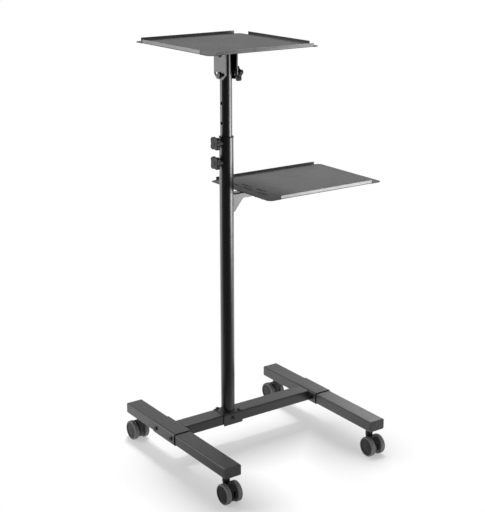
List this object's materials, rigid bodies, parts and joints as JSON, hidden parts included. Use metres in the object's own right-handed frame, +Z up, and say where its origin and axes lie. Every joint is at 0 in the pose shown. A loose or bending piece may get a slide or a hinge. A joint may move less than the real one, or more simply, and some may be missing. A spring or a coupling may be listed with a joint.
{
  "type": "projector trolley",
  "caption": "Wheeled projector trolley: H-shaped base on swivel casters, offset telescopic mast, tilting top tray and a fixed side tray.",
  "frame": {"origin": "on the floor, under the middle of the bounding box", "axes": "+Z up, +X along the crossbeam towards the side tray, -Y towards the front, the long end of the legs"},
  "size_m": [0.6384, 0.523, 1.136],
  "materials": {
    "powder_coat": "satin black powder coat",
    "black_plastic": "matt black moulding",
    "grey_tread": "soft grey tyre",
    "disc_plastic": "dark grey moulded disc",
    "zinc_steel": "zinc-plated steel",
    "black_bolts": "black oxide steel"
  },
  "bodies": {
    "base": {"left_leg": "powder_coat", "right_leg": "powder_coat", "leg_end_caps": "black_plastic", "left_sleeve": "powder_coat", "right_sleeve": "powder_coat", "sleeve_bolts": "black_bolts", "crossbeam": "powder_coat", "saddle_bracket": "powder_coat", "saddle_bolts": "black_bolts", "lower_tube": "powder_coat", "tube_bush": "black_plastic", "knob_bosses": "black_plastic", "side_tray": "powder_coat", "side_tray_bracket": "powder_coat", "side_tray_screws": "black_bolts", "caster_stems": "zinc_steel"},
    "mast": {"upper_tube": "powder_coat", "pivot_bolt_set": "black_bolts", "tilt_clamp_bolt": "black_bolts"},
    "top_shelf": {"top_tray": "powder_coat", "tilt_bracket": "powder_coat", "top_tray_screws": "black_bolts"},
    "upper_knob": {"upper_lock_knob": "black_plastic"},
    "lower_knob": {"lower_lock_knob": "black_plastic"},
    "clamp_knob": {"tilt_knob": "black_plastic"},
    "front_left_caster": {"front_left_caster_housing": "black_plastic"},
    "front_left_outer": {"front_left_outer_tyre": "grey_tread", "front_left_outer_disc": "disc_plastic"},
    "front_left_inner": {"front_left_inner_tyre": "grey_tread", "front_left_inner_disc": "disc_plastic"},
    "front_right_caster": {"front_right_caster_housing": "black_plastic"},
    "front_right_outer": {"front_right_outer_tyre": "grey_tread", "front_right_outer_disc": "disc_plastic"},
    "front_right_inner": {"front_right_inner_tyre": "grey_tread", "front_right_inner_disc": "disc_plastic"},
    "rear_left_caster": {"rear_left_caster_housing": "black_plastic"},
    "rear_left_outer": {"rear_left_outer_tyre": "grey_tread", "rear_left_outer_disc": "disc_plastic"},
    "rear_left_inner": {"rear_left_inner_tyre": "grey_tread", "rear_left_inner_disc": "disc_plastic"},
    "rear_right_caster": {"rear_right_caster_housing": "black_plastic"},
    "rear_right_outer": {"rear_right_outer_tyre": "grey_tread", "rear_right_outer_disc": "disc_plastic"},
    "rear_right_inner": {"rear_right_inner_tyre": "grey_tread", "rear_right_inner_disc": "disc_plastic"}
  },
  "joints": [
    {"name": "mast_height", "type": "slide", "parent": "base", "child": "mast", "axis": [0, 0, 1], "range_m": [-0.104, 0.156]},
    {"name": "top_tray_tilt", "type": "hinge", "parent": "mast", "child": "top_shelf", "pos_m": [-0.10375, 0.046, 1.099], "axis": [1, 0, 0], "range_deg": [-20, 20]},
    {"name": "upper_lock_knob_turn", "type": "hinge", "parent": "base", "child": "upper_knob", "pos_m": [-0.13775, 0.046, 0.871], "axis": [1, 0, 0], "continuous": true},
    {"name": "lower_lock_knob_turn", "type": "hinge", "parent": "base", "child": "lower_knob", "pos_m": [-0.13775, 0.046, 0.819], "axis": [1, 0, 0], "continuous": true},
    {"name": "tilt_knob_turn", "type": "hinge", "parent": "mast", "child": "clamp_knob", "pos_m": [-0.07175, 0.046, 1.048], "axis": [1, 0, 0], "continuous": true},
    {"name": "front_left_swivel", "type": "hinge", "parent": "base", "child": "front_left_caster", "pos_m": [-0.28875, -0.218, 0.077], "axis": [0, 0, 1], "continuous": true},
    {"name": "front_left_outer_roll", "type": "hinge", "parent": "front_left_caster", "child": "front_left_outer", "pos_m": [-0.3055, -0.234, 0.0275], "axis": [1, 0, 0], "continuous": true},
    {"name": "front_left_inner_roll", "type": "hinge", "parent": "front_left_caster", "child": "front_left_inner", "pos_m": [-0.272, -0.234, 0.0275], "axis": [1, 0, 0], "continuous": true},
    {"name": "front_right_swivel", "type": "hinge", "parent": "base", "child": "front_right_caster", "pos_m": [0.19125, -0.218, 0.077], "axis": [0, 0, 1], "continuous": true},
    {"name": "front_right_outer_roll", "type": "hinge", "parent": "front_right_caster", "child": "front_right_outer", "pos_m": [0.208, -0.234, 0.0275], "axis": [1, 0, 0], "continuous": true},
    {"name": "front_right_inner_roll", "type": "hinge", "parent": "front_right_caster", "child": "front_right_inner", "pos_m": [0.1745, -0.234, 0.0275], "axis": [1, 0, 0], "continuous": true},
    {"name": "rear_left_swivel", "type": "hinge", "parent": "base", "child": "rear_left_caster", "pos_m": [-0.28875, 0.218, 0.077], "axis": [0, 0, 1], "continuous": true},
    {"name": "rear_left_outer_roll", "type": "hinge", "parent": "rear_left_caster", "child": "rear_left_outer", "pos_m": [-0.3055, 0.234, 0.0275], "axis": [1, 0, 0], "continuous": true},
    {"name": "rear_left_inner_roll", "type": "hinge", "parent": "rear_left_caster", "child": "rear_left_inner", "pos_m": [-0.272, 0.234, 0.0275], "axis": [1, 0, 0], "continuous": true},
    {"name": "rear_right_swivel", "type": "hinge", "parent": "base", "child": "rear_right_caster", "pos_m": [0.19125, 0.218, 0.077], "axis": [0, 0, 1], "continuous": true},
    {"name": "rear_right_outer_roll", "type": "hinge", "parent": "rear_right_caster", "child": "rear_right_outer", "pos_m": [0.208, 0.234, 0.0275], "axis": [1, 0, 0], "continuous": true},
    {"name": "rear_right_inner_roll", "type": "hinge", "parent": "rear_right_caster", "child": "rear_right_inner", "pos_m": [0.1745, 0.234, 0.0275], "axis": [1, 0, 0], "continuous": true}
  ]
}
